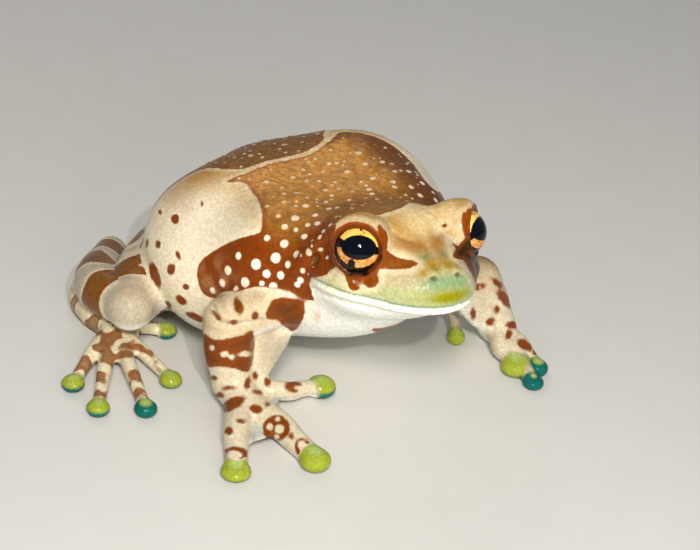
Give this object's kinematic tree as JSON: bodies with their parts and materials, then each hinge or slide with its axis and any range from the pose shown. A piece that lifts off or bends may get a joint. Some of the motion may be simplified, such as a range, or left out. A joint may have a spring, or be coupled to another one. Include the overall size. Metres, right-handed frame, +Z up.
{
  "type": "amazon milk frog",
  "caption": "Life-size adult tree frog, crouched with folded hind legs, raised head and spread fingers and toes that end in round discs.",
  "frame": {"origin": "on the floor, under the middle of the frog's box", "axes": "+Z up; the frog looks along -Y, so +X is its left side"},
  "size_m": [0.0977, 0.085, 0.0428],
  "materials": {
    "skin": "moist satin",
    "eye": "wet gloss"
  },
  "bodies": {
    "root": {"trunk": "skin", "head": "skin", "eye_r": "eye", "eye_l": "eye", "upper_arm_r": "skin", "forearm_r": "skin", "hand_r": "skin", "finger_r_1": "skin", "finger_r_2": "skin", "finger_r_3": "skin", "finger_r_4": "skin", "upper_arm_l": "skin", "forearm_l": "skin", "hand_l": "skin", "finger_l_1": "skin", "finger_l_2": "skin", "finger_l_3": "skin", "finger_l_4": "skin", "thigh_r": "skin", "shank_r": "skin", "foot_r": "skin", "toe_r_1": "skin", "toe_r_2": "skin", "toe_r_3": "skin", "toe_r_4": "skin", "toe_r_5": "skin", "thigh_l": "skin", "shank_l": "skin", "foot_l": "skin", "toe_l_1": "skin", "toe_l_2": "skin", "toe_l_3": "skin", "toe_l_4": "skin", "toe_l_5": "skin"}
  },
  "joints": []
}
